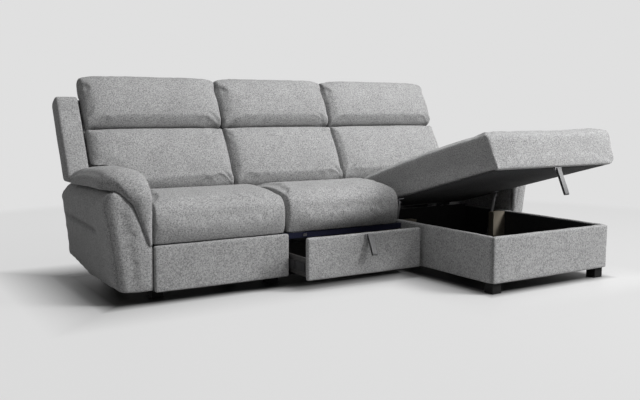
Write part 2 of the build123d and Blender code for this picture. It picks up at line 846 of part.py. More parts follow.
def lid_outline(x, drawn):
    """The side outline of the lid cushion at x, drawn in towards its ends by a share from 0 to 1."""
    front = -lid_reach + drawn * lid_bulge
    high = lid_top + lid_height - drawn * lid_crown
    foot = (front + lid_bulge / 2, lid_top)
    nose = (front + lid_bulge / 2, high - lid_shoulder)
    roll = (front + lid_shoulder, high)
    heel = (-lid_rear_gap - drawn * lid_bulge / 2, lid_top)
    nape = (-lid_rear_gap - lid_rear_slope, high - lid_crown)
    crown = ((roll[0] + nape[0]) / 2, high + (1 - drawn) * lid_crown)
    with BuildSketch(lid_side(x)) as outline:
        with BuildLine():
            Line(heel, foot)
            ThreePointArc(foot, (front, (foot[1] + nose[1]) / 2), nose)
            TangentArc(roll, nose, tangent=(-1, 0))
            ThreePointArc(roll, crown, nape)
            Line(nape, heel)
        make_face()
    return outline.sketch


with BuildPart() as lid_cushion:
    add(crowned(lid_outline, chaise_left_x, chaise_right_x))
save(lid_cushion.part, "lid_cushion")


# Gas struts, from a pivot under the lid down to a foot pin on the box
strut_xs = (box_left + board + strut_wall_gap, box_right - board - strut_wall_gap)
strut_outwards = (-1, 1)
strut_head = lid_plane.from_local_coords((0, -strut_lid_reach, -strut_lid_drop))
strut_foot = Vector(0, seat_front_y + strut_foot_setback, strut_foot_height)
strut_axis = strut_foot - strut_head
strut_length = strut_axis.length
strut_down = strut_axis.normalized()


def strut_plane(x, run):
    """A plane across a strut at x, at a distance down from its upper pivot."""
    return Plane(origin=Vector(x, 0, 0) + strut_head + strut_down * run, x_dir=(1, 0, 0), z_dir=strut_down)


def pivot_plane(x, centre):
    """A plane across a strut pivot at x, facing sideways."""
    return Plane(origin=Vector(x, 0, 0) + centre, x_dir=(0, 1, 0), z_dir=(1, 0, 0))


with BuildPart() as strut_cylinders:
    for strut_x in strut_xs:
        with BuildSketch(strut_plane(strut_x, cylinder_start)) as tube:
            Circle(cylinder_r)
        extrude(tube.sketch, amount=cylinder_length)
        with BuildSketch(strut_plane(strut_x, 0)) as neck:
            Rectangle(eye_width, eye_r)
        extrude(neck.sketch, amount=cylinder_start)
        with BuildSketch(pivot_plane(strut_x - eye_width / 2, strut_head)) as eye:
            Circle(eye_r)
        extrude(eye.sketch, amount=eye_width)
    for strut_x in strut_xs:
        with BuildSketch(pivot_plane(strut_x - eye_width / 2, strut_head)) as bore:
            Circle(strut_pin_r + rod_fit)
        extrude(bore.sketch, amount=eye_width, mode=Mode.SUBTRACT)
        with BuildSketch(strut_plane(strut_x, cylinder_start + cylinder_cap)) as bore:
            Circle(rod_r + rod_fit)
        extrude(bore.sketch, amount=cylinder_length - cylinder_cap, mode=Mode.SUBTRACT)
save(strut_cylinders.part, "strut_cylinders")

with BuildPart() as strut_rods:
    for strut_x in strut_xs:
        with BuildSketch(strut_plane(strut_x, strut_length - rod_length)) as rod:
            Circle(rod_r)
        extrude(rod.sketch, amount=rod_length - (eye_r + strut_pin_r + open_pivot_play) / 2)
        with BuildSketch(pivot_plane(strut_x - eye_width / 2, strut_foot)) as eye:
            Circle(eye_r)
            Circle(strut_pin_r + open_pivot_play, mode=Mode.SUBTRACT)
        extrude(eye.sketch, amount=eye_width)
save(strut_rods.part, "strut_rods")

pin_reach = strut_wall_gap + eye_width / 2
with BuildPart() as strut_brackets:
    for strut_x, outward in zip(strut_xs, strut_outwards):
        wall_x = strut_x + outward * strut_wall_gap
        with BuildSketch(pivot_plane(wall_x, strut_foot)) as plate:
            Rectangle(bracket_side, bracket_side)
        extrude(plate.sketch, amount=-outward * bracket_plate)
        with BuildSketch(pivot_plane(wall_x, strut_foot)) as pin:
            Circle(strut_pin_r)
        extrude(pin.sketch, amount=-outward * pin_reach)
save(strut_brackets.part, "strut_brackets")

with BuildPart() as lid_strut_brackets:
    for strut_x, outward in zip(strut_xs, strut_outwards):
        ear_x = strut_x + outward * (eye_width / 2 + hinge_play)
        with BuildSketch(lid_plane.offset(hinge_leaf - lid_lining - bracket_plate)) as plate:
            with Locations((strut_x, -strut_lid_reach)):
                Rectangle(2 * (strut_wall_gap - bracket_clearance), bracket_side)
        extrude(plate.sketch, amount=bracket_plate)
        ear_low = -strut_lid_drop - eye_r
        ear_high = hinge_leaf - lid_lining - bracket_plate
        with BuildSketch(lid_side(ear_x)) as ear:
            with Locations((-strut_lid_reach, (ear_low + ear_high) / 2)):
                Rectangle(2 * eye_r, ear_high - ear_low)
        extrude(ear.sketch, amount=outward * bracket_plate)
        with BuildSketch(pivot_plane(ear_x, strut_head)) as pin:
            Circle(strut_pin_r)
        extrude(pin.sketch, amount=-outward * (eye_width + 2 * hinge_play))
save(lid_strut_brackets.part, "lid_strut_brackets")

# Drawer
drawer_face = seat_front_y - drawer_out
drawer_left = seat_mid_x + drawer_front_gap
drawer_right = seat_right_x - drawer_front_gap
drawer_low = foot_height + drawer_front_lift
wall_left = seat_mid_x + 3 * slide_bar + 2 * slide_gap
wall_right = seat_right_x - 3 * slide_bar - 2 * slide_gap
wall_front = drawer_face + cover + board
wall_rear = wall_front + drawer_depth
with BuildPart() as drawer_front_cover:
    span_box((drawer_left, drawer_right), (drawer_face, drawer_face + cover), (drawer_low, base_top))
    fillet(drawer_front_cover.faces().sort_by(Axis.Y)[0].edges(), cover / 2)
save(drawer_front_cover.part, "drawer_front_cover")

with BuildPart() as drawer_front_board:
    span_box((drawer_left, drawer_right), (drawer_face + cover, wall_front), (drawer_low, base_top))
save(drawer_front_board.part, "drawer_front_board")

with BuildPart() as drawer_sides:
    for wall_x in (wall_left, wall_right - drawer_wall):
        wall_span = (wall_x, wall_x + drawer_wall)
        span_box(wall_span, (wall_front, wall_rear), (drawer_wall_bottom, drawer_wall_top))
save(drawer_sides.part, "drawer_sides")

with BuildPart() as drawer_back:
    span_box((wall_left + drawer_wall, wall_right - drawer_wall), (wall_rear - drawer_wall, wall_rear),
             (drawer_wall_bottom, drawer_wall_top))
save(drawer_back.part, "drawer_back")

with BuildPart() as drawer_bottom:
    span_box((wall_left, wall_right), (wall_front, wall_rear),
             (drawer_wall_bottom - drawer_base, drawer_wall_bottom))
save(drawer_bottom.part, "drawer_bottom")

slide_z = (slide_low, slide_low + slide_height)
slide_y = seat_front_y + slide_setback
slide_members = (("slide_outer", 0, 0.0), ("slide_middle", 1, drawer_out / 2), ("slide_inner", 2, drawer_out))
for name, layer, out in slide_members:
    with BuildPart() as slide:
        near = layer * (slide_bar + slide_gap)
        span = (slide_y - out, slide_y + slide_length - out)
        span_box((seat_mid_x + near, seat_mid_x + near + slide_bar), span, slide_z)
        span_box((seat_right_x - near - slide_bar, seat_right_x - near), span, slide_z)
    save(slide.part, name)


# Strap pulls, each a loop that swings on a pin between two lugs
def pull_plane(pivot):
    """The plane of a pull that leans forward below its pivot."""
    return Plane(origin=pivot, x_dir=(1, 0, 0), z_dir=(0, -pull_cos, pull_sin))


def strap_pull(pivot, length):
    """A strap loop with a barrel round its pin at the top."""
    with BuildPart() as pull:
        with BuildSketch(pull_plane(pivot)) as loop:
            with Locations((0, -length / 2)):
                Rectangle(pull_width, length)
            fillet(loop.vertices().group_by(Axis.Y)[0], pull_round)
            with Locations((0, -length / 2)):
                Rectangle(pull_width - 2 * pull_band, length - 2 * pull_band, mode=Mode.SUBTRACT)
        extrude(loop.sketch, amount=pull_thickness / 2, both=True)
        with BuildSketch(pivot_plane(-pull_width / 2, pivot)) as barrel:
            Circle(pull_barrel_r)
        extrude(barrel.sketch, amount=pull_width)
        with BuildSketch(pivot_plane(-pull_width / 2, pivot)) as bore:
            Circle(pull_pin_r + pull_pin_fit)
        extrude(bore.sketch, amount=pull_width, mode=Mode.SUBTRACT)
    return pull.part


def pull_anchor(pivot, seat_plane):
    """A plate with two lugs and a pin, drawn on the plane of the surface that carries it."""
    lug_near = pull_width / 2 + pull_side_play
    with BuildPart() as anchor:
        with BuildSketch(seat_plane) as plate:
            Rectangle(2 * (lug_near + pull_lug), 2 * pull_barrel_r)
        extrude(plate.sketch, amount=pull_plate)
        with BuildSketch(seat_plane) as lugs:
            with Locations((lug_near + pull_lug / 2, 0), (-lug_near - pull_lug / 2, 0)):
                Rectangle(pull_lug, 2 * pull_barrel_r)
        extrude(lugs.sketch, amount=pull_stand + pull_barrel_r)
        with BuildSketch(pivot_plane(-lug_near - pull_lug / 2, pivot)) as pin:
            Circle(pull_pin_r)
        extrude(pin.sketch, amount=2 * lug_near + pull_lug)
    return anchor.part


drawer_pull_x = (drawer_left + drawer_right) / 2 + drawer_pull_offset
drawer_pull_z = base_top - drawer_pull_drop
drawer_pivot = Vector(drawer_pull_x, drawer_face - pull_stand, drawer_pull_z)
drawer_seat = Plane(origin=(drawer_pull_x, drawer_face, drawer_pull_z), x_dir=(1, 0, 0), z_dir=(0, -1, 0))
lid_pull_x = (chaise_left_x + chaise_right_x) / 2 + lid_pull_offset
lid_pivot = lid_plane.from_local_coords((lid_pull_x, -lid_reach + pull_lid_inset, hinge_leaf - pull_stand))
lid_seat = Plane(
    origin=lid_plane.from_local_coords((lid_pull_x, -lid_reach + pull_lid_inset, hinge_leaf)),
    x_dir=(1, 0, 0),
    z_dir=-lid_plane.z_dir,
)
pulls = (
    ("drawer", drawer_pivot, drawer_pull_length, drawer_seat),
    ("lid", lid_pivot, lid_pull_length, lid_seat),
)
for place, pivot, length, seat in pulls:
    with BuildPart() as pull:
        add(strap_pull(pivot, length))
    save(pull.part, f"{place}_pull")
    with BuildPart() as anchor:
        add(pull_anchor(pivot, seat))
    save(anchor.part, f"{place}_pull_anchor")

print(f"strut rest length {strut_length:.1f}, total width {total_width:.1f}, seat front {seat_front_y:.2f}")
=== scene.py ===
"""Looks of a chaise sofa: upholstery, fittings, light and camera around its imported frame."""

import json
import logging
import math
from dataclasses import dataclass, field
from enum import Enum
from typing import ClassVar

import bmesh
import bpy
import numpy as np
from mathutils import Matrix, Vector, noise
from mathutils.bvhtree import BVHTree


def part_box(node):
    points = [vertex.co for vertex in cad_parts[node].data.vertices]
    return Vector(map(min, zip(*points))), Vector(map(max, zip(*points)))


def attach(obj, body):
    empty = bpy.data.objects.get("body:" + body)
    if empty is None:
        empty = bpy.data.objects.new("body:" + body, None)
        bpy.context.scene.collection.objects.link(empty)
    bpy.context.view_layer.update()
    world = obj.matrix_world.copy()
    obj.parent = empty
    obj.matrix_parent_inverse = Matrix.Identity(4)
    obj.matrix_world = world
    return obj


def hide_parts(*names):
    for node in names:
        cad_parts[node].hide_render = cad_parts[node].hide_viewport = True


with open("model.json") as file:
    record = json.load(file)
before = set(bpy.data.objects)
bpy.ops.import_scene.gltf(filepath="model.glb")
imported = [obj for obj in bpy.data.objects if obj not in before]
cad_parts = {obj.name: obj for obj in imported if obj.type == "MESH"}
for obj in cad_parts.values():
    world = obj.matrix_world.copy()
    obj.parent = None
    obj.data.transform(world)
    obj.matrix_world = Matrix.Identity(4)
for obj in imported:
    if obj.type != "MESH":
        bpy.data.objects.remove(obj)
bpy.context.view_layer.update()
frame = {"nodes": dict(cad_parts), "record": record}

LOG = logging.getLogger("sofa")
# Metres from band to band in a wave texture of scale 1.
WAVE_LENGTH = 2 * math.pi / 20
Colour = tuple[float, float, float]
Socket = bpy.types.NodeSocket


class Weave(Enum):
    """Kinds of cloth, by the spacing of their threads in metres."""

    MELANGE = 0.0024
    STRAP = 0.0036
    LINING = 0.0016


class Side(Enum):
    """The two ends of the sofa, by the outward direction across it."""

    LEFT = -1
    RIGHT = 1


class Graph:
    """Places and joins shader nodes in one tree."""

    def __init__(self, tree: bpy.types.NodeTree) -> None:
        """Work on a tree that starts empty."""
        self.tree = tree
        tree.nodes.clear()

    def add(self, kind: str, values: dict | None = None, **settings: object) -> bpy.types.Node:
        """Add a node and fill its inputs.

        Args:
            kind: The node's type name.
            values: Input name or number to a constant or to the socket that feeds it.
            settings: Attributes of the node itself.

        Returns:
            The new node.
        """
        node = self.tree.nodes.new(kind)
        for name, value in settings.items():
            setattr(node, name, value)
        self.feed(node, values or {})
        return node

    def feed(self, node: bpy.types.Node, values: dict) -> None:
        """Fill a node's inputs.

        Args:
            node: The node to fill.
            values: Input name or number to a constant or to the socket that feeds it.
        """
        for name, value in values.items():
            if isinstance(value, Socket):
                self.tree.links.new(value, node.inputs[name])
            else:
                node.inputs[name].default_value = value

    def math(self, operation: str, first: object, second: object = 0.0) -> Socket:
        """Join two values by a sum, product or other operation and return the result's socket."""
        return self.add("ShaderNodeMath", {0: first, 1: second}, operation=operation).outputs[0]

    def total(self, first: object, part: float, second: object, rest: float) -> Socket:
        """Add a part of one value to a part of another and return the result's socket."""
        parts = (self.math("MULTIPLY", first, part), self.math("MULTIPLY", second, rest))
        return self.math("ADD", *parts)

    def noise(self, place: object, scale: float, detail: float = 2.0, rough: float = 0.6) -> Socket:
        """Add a noise of a given fineness and return its value's socket."""
        values = {"Vector": place, "Scale": scale, "Detail": detail, "Roughness": rough}
        return self.add("ShaderNodeTexNoise", values).outputs["Fac"]

    def spread(
        self, value: object, low: float, high: float, to_low: float, to_high: float,
    ) -> Socket:
        """Map a value from one span to another, held at both ends, and return its socket."""
        spans = {"From Min": low, "From Max": high, "To Min": to_low, "To Max": to_high}
        return self.add("ShaderNodeMapRange", {"Value": value, **spans}).outputs["Result"]

    def outside(self, place: object, box: tuple) -> Socket:
        """How far a place on the floor lies outside a box, below nothing inside it.

        Args:
            place: The socket of the place.
            box: The lowest and highest corner.

        Returns:
            The socket of the distance in metres.
        """
        parts = self.add("ShaderNodeSeparateXYZ", {0: place}).outputs
        gaps = []
        for axis in (0, 1):
            centre = (box[0][axis] + box[1][axis]) / 2
            half = (box[1][axis] - box[0][axis]) / 2
            away = self.math("ABSOLUTE", self.math("SUBTRACT", parts[axis], centre))
            gaps.append(self.math("SUBTRACT", away, half))
        return self.math("MAXIMUM", *gaps)

    def mix(self, share: object, first: object, second: object, blend: str = "MIX") -> Socket:
        """Mix two colours and return the result's socket."""
        values = {0: share, 6: first, 7: second}
        return self.add("ShaderNodeMix", values, data_type="RGBA", blend_type=blend).outputs[2]

    def bump(self, height: object, strength: float, distance: float) -> Socket:
        """Turn a height into a relief and return its normal's socket."""
        values = {"Height": height, "Strength": strength, "Distance": distance}
        return self.add("ShaderNodeBump", values).outputs["Normal"]

    def surface(self, values: dict) -> None:
        """End a material's tree in one principled surface."""
        shader = self.add("ShaderNodeBsdfPrincipled", values)
        self.add("ShaderNodeOutputMaterial", {"Surface": shader.outputs["BSDF"]})


class Effects:
    """Shader effects that several finishes share, each built once as a node group."""

    made: dict[str, bpy.types.NodeTree] = {}

    @classmethod
    def start(cls, name: str, inputs: dict[str, str], outputs: dict[str, str]) -> tuple:
        """Make an empty group.

        Args:
            name: The group's name.
            inputs: Input name to socket type.
            outputs: Output name to socket type.

        Returns:
            The group, its graph, and its input and output nodes.
        """
        group = bpy.data.node_groups.new(name, "ShaderNodeTree")
        for label, kind in inputs.items():
            group.interface.new_socket(label, in_out="INPUT", socket_type=kind)
        for label, kind in outputs.items():
            group.interface.new_socket(label, in_out="OUTPUT", socket_type=kind)
        graph = Graph(group)
        cls.made[name] = group
        return group, graph, graph.add("NodeGroupInput"), graph.add("NodeGroupOutput")

    @classmethod
    def cloth(cls) -> bpy.types.NodeTree:
        """Woven cloth with flecks.

        Returns:
            A group that gives a colour, the threads' height and a roughness.
        """
        if "cloth" in cls.made:
            return cls.made["cloth"]
        inputs = {
            "Light": "NodeSocketColor", "Dark": "NodeSocketColor", "Threads": "NodeSocketFloat",
        }
        outputs = {
            "Color": "NodeSocketColor", "Height": "NodeSocketFloat", "Roughness": "NodeSocketFloat",
        }
        group, graph, given, result = cls.start("cloth", inputs, outputs)
        place = graph.add("ShaderNodeTexCoord").outputs["Object"]
        threads = 0.0
        weave = {
            "Vector": place, "Scale": given.outputs["Threads"], "Distortion": 1.5, "Detail": 1.0,
        }
        for axis in ("X", "Y", "Z"):
            wave = graph.add("ShaderNodeTexWave", weave, bands_direction=axis)
            threads = graph.math("ADD", threads, wave.outputs["Fac"])
        flecks = graph.noise(place, scale=165.0, detail=4.0, rough=0.75)
        strands = graph.noise(place, scale=620.0)
        drift = graph.noise(place, scale=9.0)
        speckle = graph.total(flecks, 0.62, strands, 0.38)
        share = graph.spread(speckle, 0.38, 0.62, 0.0, 1.0)
        colour = graph.mix(share, given.outputs["Dark"], given.outputs["Light"])
        tone = graph.spread(drift, 0.3, 0.7, 0.94, 1.05)
        tint = graph.add("ShaderNodeCombineColor", {0: tone, 1: tone, 2: tone}).outputs[0]
        graph.feed(result, {
            "Color": graph.mix(1.0, colour, tint, "MULTIPLY"),
            "Height": graph.total(threads, 0.3, speckle, 0.6),
            "Roughness": graph.spread(speckle, 0.35, 0.65, 0.95, 0.82),
        })
        return group

    @classmethod
    def grain(cls) -> bpy.types.NodeTree:
        """Long grain of wood or board.

        Returns:
            A group that gives a mask along the grain and its height.
        """
        if "grain" in cls.made:
            return cls.made["grain"]
        inputs = {"Rings": "NodeSocketFloat"}
        outputs = {"Mask": "NodeSocketFloat", "Height": "NodeSocketFloat"}
        group, graph, given, result = cls.start("grain", inputs, outputs)
        place = graph.add("ShaderNodeTexCoord").outputs["Object"]
        stretch = {"Vector": place, "Scale": (1.0, 1.0, 9.0)}
        long = graph.add("ShaderNodeMapping", stretch).outputs[0]
        values = {"Vector": long, "Scale": given.outputs["Rings"], "Distortion": 6.0, "Detail": 3.0}
        rings = graph.add("ShaderNodeTexWave", values, bands_direction="DIAGONAL").outputs["Fac"]
        fibre = graph.noise(long, scale=160.0, detail=3.0)
        graph.feed(result, {"Mask": graph.total(rings, 0.55, fibre, 0.45), "Height": fibre})
        return group

    @classmethod
    def rub(cls) -> bpy.types.NodeTree:
        """Fine brushing and handling marks on hard surfaces.

        Returns:
            A group that gives a mask of the marks and their height.
        """
        if "rub" in cls.made:
            return cls.made["rub"]
        inputs = {"Fineness": "NodeSocketFloat"}
        outputs = {"Mask": "NodeSocketFloat", "Height": "NodeSocketFloat"}
        group, graph, given, result = cls.start("rub", inputs, outputs)
        place = graph.add("ShaderNodeTexCoord").outputs["Object"]
        stretch = {"Vector": place, "Scale": (6.0, 1.0, 1.0)}
        drawn = graph.add("ShaderNodeMapping", stretch).outputs[0]
        values = {"Vector": drawn, "Scale": given.outputs["Fineness"], "Detail": 2.0}
        fine = graph.add("ShaderNodeTexNoise", values).outputs["Fac"]
        mask = graph.math("MULTIPLY", fine, graph.noise(place, scale=24.0, detail=4.0))
        graph.feed(result, {"Mask": graph.spread(mask, 0.12, 0.42, 0.0, 1.0), "Height": fine})
        return group


def opaque(colour: Colour) -> tuple[float, float, float, float]:
    """Give a colour the full alpha that a socket needs."""
    return (*colour, 1.0)


def grey(tone: float) -> tuple[float, float, float, float]:
    """A neutral colour of one tone, with full alpha."""
    return opaque((tone,) * 3)


def blank(name: str) -> tuple[bpy.types.Material, Graph]:
    """Start a material.

    Args:
        name: The material's name.

    Returns:
        The material and the graph of its empty tree.
    """
    made = bpy.data.materials.new(name)
    made.use_nodes = True
    return made, Graph(made.node_tree)


@dataclass(frozen=True)
class ClothFinish:
    """A woven cover with flecks and threads, and painted shade along its sewn lines and where
    pieces meet, partly the darker stitching.
    """

    name: str
    light: Colour
    dark: Colour
    weave: Weave
    sheen: float = 0.15
    relief: float = 0.0006
    # Share and tone of the painted shade along sewn lines and joins, partly the darker stitching.
    seam_shade_share: float = 0.62
    seam_shade_tone: float = 0.25

    def material(self) -> bpy.types.Material:
        """Build the finish.

        Returns:
            Its material.
        """
        made, graph = blank(self.name)
        values = {
            "Light": opaque(self.light),
            "Dark": opaque(self.dark),
            "Threads": WAVE_LENGTH / self.weave.value,
        }
        cloth = graph.add("ShaderNodeGroup", node_tree=Effects.cloth())
        graph.feed(cloth, values)
        # Painted shade in the grooves of sewn lines and where pieces meet, partly the darker
        # stitching, mixed into the cover's colour.
        seam = graph.add("ShaderNodeAttribute", attribute_name="seam").outputs["Fac"]
        shade = graph.spread(seam, 0.0, 1.0, 0.0, self.seam_shade_share)
        sewn = opaque(tuple(self.seam_shade_tone * part for part in self.dark))
        graph.surface({
            "Base Color": graph.mix(shade, cloth.outputs["Color"], sewn),
            "Roughness": cloth.outputs["Roughness"],
            "Normal": graph.bump(cloth.outputs["Height"], 0.55, self.relief),
            "Sheen Weight": self.sheen,
            "Sheen Roughness": 0.5,
            "Specular IOR Level": 0.18,
        })
        return made


@dataclass(frozen=True)
class GrainFinish:
    """Wood or laminated board with a grain."""

    name: str
    light: Colour
    dark: Colour
    rings: float = 14.0
    roughness: float = 0.55
    relief: float = 0.0005

    def material(self) -> bpy.types.Material:
        """Build the finish.

        Returns:
            Its material.
        """
        made, graph = blank(self.name)
        grain = graph.add("ShaderNodeGroup", node_tree=Effects.grain())
        graph.feed(grain, {"Rings": self.rings})
        mask = grain.outputs["Mask"]
        graph.surface({
            "Base Color": graph.mix(mask, opaque(self.dark), opaque(self.light)),
            "Roughness": graph.spread(mask, 0.2, 0.8, self.roughness + 0.1, self.roughness - 0.05),
            "Normal": graph.bump(grain.outputs["Height"], 0.25, self.relief),
        })
        return made


@dataclass(frozen=True)
class HardFinish:
    """Metal, paint, plastic or smooth leather with handling marks."""

    name: str
    colour: Colour
    worn: Colour
    metallic: float = 0.0
    roughness: float = 0.4
    fineness: float = 300.0
    relief: float = 0.0002
    specular: float = 0.5

    def material(self) -> bpy.types.Material:
        """Build the finish.

        Returns:
            Its material.
        """
        made, graph = blank(self.name)
        rub = graph.add("ShaderNodeGroup", node_tree=Effects.rub())
        graph.feed(rub, {"Fineness": self.fineness})
        mask = rub.outputs["Mask"]
        graph.surface({
            "Base Color": graph.mix(mask, opaque(self.colour), opaque(self.worn)),
            "Metallic": self.metallic,
            "Roughness": graph.spread(mask, 0.0, 1.0, self.roughness, self.roughness + 0.18),
            "Normal": graph.bump(rub.outputs["Height"], 0.3, self.relief),
            "Specular IOR Level": self.specular,
        })
        return made


UPHOLSTERY = ClothFinish("upholstery", (0.57, 0.57, 0.57), (0.14, 0.14, 0.142), Weave.MELANGE)
WEBBING = ClothFinish("webbing", (0.12, 0.12, 0.125), (0.05, 0.05, 0.052), Weave.STRAP)
LINING = ClothFinish(
    "lining", (0.050, 0.050, 0.052), (0.026, 0.026, 0.027), Weave.LINING, sheen=0.05,
)
NAVY = ClothFinish("navy", (0.014, 0.016, 0.040), (0.006, 0.007, 0.020), Weave.LINING, sheen=0.05)
FRAME_WOOD = GrainFinish("frame_wood", (0.52, 0.38, 0.23), (0.36, 0.25, 0.14))
BLOCK_WOOD = GrainFinish(
    "block_wood", (0.28, 0.25, 0.20), (0.20, 0.17, 0.13), rings=20.0, roughness=0.65,
)
DRAWER_BOARD = GrainFinish(
    "drawer_board", (0.060, 0.058, 0.056), (0.030, 0.029, 0.028), rings=8.0, roughness=0.42,
)
STEEL = HardFinish(
    "steel", (0.56, 0.56, 0.58), (0.40, 0.40, 0.42), metallic=1.0, roughness=0.32, fineness=420.0,
)
DARK_STEEL = HardFinish(
    "dark_steel", (0.05, 0.05, 0.052), (0.09, 0.09, 0.092),
    metallic=0.8, roughness=0.45, fineness=420.0,
)
STRUT_PAINT = HardFinish(
    "strut_paint", (0.42, 0.42, 0.43), (0.52, 0.52, 0.53), metallic=0.4, roughness=0.38,
)
ROD_CHROME = HardFinish(
    "rod_chrome", (0.72, 0.72, 0.74), (0.60, 0.60, 0.62),
    metallic=1.0, roughness=0.14, fineness=500.0, relief=0.00005,
)
PULL_LEATHER = HardFinish(
    "pull_leather", (0.07, 0.07, 0.072), (0.11, 0.11, 0.112),
    roughness=0.36, fineness=700.0, relief=0.0003,
)
ANCHOR_METAL = HardFinish(
    "anchor_metal", (0.20, 0.20, 0.21), (0.32, 0.32, 0.33), metallic=0.7,
)
FOOT_PLASTIC = HardFinish(
    "foot_plastic", (0.010, 0.010, 0.010), (0.020, 0.020, 0.020), roughness=0.6, specular=0.12,
)
Finish = ClothFinish | GrainFinish | HardFinish
SLOT_FINISHES: dict[str, Finish] = {
    "upholstery": UPHOLSTERY,
    "frame_wood": FRAME_WOOD,
    "block_wood": BLOCK_WOOD,
    "drawer_board": DRAWER_BOARD,
    "webbing": WEBBING,
    "dark_cloth": LINING,
    "foot_plastic": FOOT_PLASTIC,
    "steel": STEEL,
    "strut_paint": STRUT_PAINT,
    "rod_chrome": ROD_CHROME,
    "pull_leather": PULL_LEATHER,
    "anchor_metal": ANCHOR_METAL,
}


class Paint:
    """The materials in use, each built once."""

    made: dict[str, bpy.types.Material] = {}

    @classmethod
    def of(cls, finish: Finish) -> bpy.types.Material:
        """Find a finish's material, built at its first use.

        Args:
            finish: The finish.

        Returns:
            Its material.
        """
        if finish.name not in cls.made:
            cls.made[finish.name] = finish.material()
        return cls.made[finish.name]


class Form:
    """Mesh work that several pieces share."""

    # How dark the painted shade is where one piece meets another.
    nip_shade: float = 0.8

    @staticmethod
    def piece(name: str, mesh: bpy.types.Mesh) -> bpy.types.Object:
        """Make an object for a mesh, at the origin, and link it to the scene.

        Args:
            name: The piece's name.
            mesh: Its mesh.

        Returns:
            The new object.
        """
        obj = bpy.data.objects.new(name, mesh)
        bpy.context.scene.collection.objects.link(obj)
        return obj

    @staticmethod
    def copy(nodes: tuple[str, ...], hulls: int = 0) -> bmesh.types.BMesh:
        """Copy frame nodes into one bmesh with their doubles merged.

        Args:
            nodes: The nodes' names.
            hulls: 0 keeps the copies, 1 wraps them in one hull, 2 in one hull at each end.

        Returns:
            A new bmesh in the frame's own place.
        """
        work = bmesh.new()
        for node in nodes:
            work.from_mesh(frame["nodes"][node].data)
        bmesh.ops.remove_doubles(work, verts=work.verts, dist=1e-5)
        if not hulls:
            return work
        groups = [work.verts[:]]
        if hulls == 2:
            middle = sum(vertex.co.x for vertex in work.verts) / len(work.verts)
            groups = [
                [vertex for vertex in work.verts if vertex.co.x < middle],
                [vertex for vertex in work.verts if vertex.co.x >= middle],
            ]
        keep = set()
        for group in groups:
            shell = bmesh.ops.convex_hull(work, input=group)
            keep.update(item for item in shell["geom"] if isinstance(item, bmesh.types.BMFace))
        inner = [face for face in work.faces if face not in keep]
        bmesh.ops.delete(work, geom=inner, context="FACES")
        bmesh.ops.recalc_face_normals(work, faces=work.faces)
        return work

    @staticmethod
    def mesh(work: bmesh.types.BMesh, name: str) -> bpy.types.Mesh:
        """Turn a bmesh into a smooth-shaded mesh and free it.

        Args:
            work: The bmesh.
            name: The mesh's name.

        Returns:
            The new mesh.
        """
        mesh = bpy.data.meshes.new(name)
        work.to_mesh(mesh)
        work.free()
        mesh.shade_smooth()
        return mesh

    @staticmethod
    def apply(obj: bpy.types.Object) -> None:
        """Apply an object's modifiers to its mesh and remove them.

        Args:
            obj: The object.
        """
        graph = bpy.context.evaluated_depsgraph_get()
        graph.update()
        result = bpy.data.meshes.new_from_object(obj.evaluated_get(graph))
        obj.modifiers.clear()
        old = obj.data
        obj.data = result
        bpy.data.meshes.remove(old)
        obj.data.shade_smooth()

    @staticmethod
    def remesh(obj: bpy.types.Object, voxel: float) -> None:
        """Rebuild an object's mesh from even quads.

        Args:
            obj: The object.
            voxel: The length of a quad's side.
        """
        modifier = obj.modifiers.new("even", "REMESH")
        modifier.mode = "VOXEL"
        modifier.voxel_size = voxel
        Form.apply(obj)

    @staticmethod
    def refine(obj: bpy.types.Object) -> None:
        """Subdivide an object's mesh once, smoothly.

        Args:
            obj: The object.
        """
        modifier = obj.modifiers.new("fine", "SUBSURF")
        modifier.levels = modifier.render_levels = 1
        Form.apply(obj)

    @staticmethod
    def points(mesh: bpy.types.Mesh) -> np.ndarray:
        """List a mesh's points.

        Args:
            mesh: The mesh.

        Returns:
            One row for each point.
        """
        rows = np.empty(len(mesh.vertices) * 3, dtype=np.float32)
        mesh.vertices.foreach_get("co", rows)
        return rows.reshape(-1, 3)

    @staticmethod
    def normals(mesh: bpy.types.Mesh) -> np.ndarray:
        """List a mesh's outward directions.

        Args:
            mesh: The mesh.

        Returns:
            One row for each point.
        """
        rows = np.empty(len(mesh.vertices) * 3, dtype=np.float32)
        mesh.vertex_normals.foreach_get("vector", rows)
        return rows.reshape(-1, 3)

    @staticmethod
    def place(mesh: bpy.types.Mesh, rows: np.ndarray) -> None:
        """Put a mesh's points at new places."""
        mesh.vertices.foreach_set("co", rows.astype(np.float32).ravel())
        mesh.update()

    @staticmethod
    def shade(mesh: bpy.types.Mesh, share: np.ndarray) -> None:
        """Deepen the painted shade, along sewn lines and where pieces meet, that a mesh keeps for
        its cover's colour.

        Args:
            mesh: The mesh.
            share: How dark the painted shade is at each point, from 0 to 1.
        """
        lines = mesh.attributes.get("seam") or mesh.attributes.new("seam", "FLOAT", "POINT")
        old = np.zeros(len(mesh.vertices), dtype=np.float32)
        lines.data.foreach_get("value", old)
        lines.data.foreach_set("value", np.maximum(old, share).astype(np.float32))

    @staticmethod
    def nip(
        obj: bpy.types.Object, other: bpy.types.Object, reach: float = 0.010, depth: float = 0.004,
    ) -> None:
        """Draw a piece in, and paint shade on it, along the line where another piece meets it.

        Args:
            obj: The piece to change.
            other: The piece that meets it.
            reach: How far from the other piece the change fades out.
            depth: How far the piece is drawn in at the line.
        """
        tree = BVHTree.FromObject(other, bpy.context.evaluated_depsgraph_get())
        places = Form.points(obj.data)
        far = 3 * reach
        near = np.array([tree.find_nearest(place, far)[3] or far for place in map(Vector, places)])
        amount = np.exp(-(near / reach) ** 2)
        Form.place(obj.data, places - Form.normals(obj.data) * (amount * depth)[:, None])
        # Painted shade along the line where the pieces meet.
        Form.shade(obj.data, Form.nip_shade * amount ** 3)

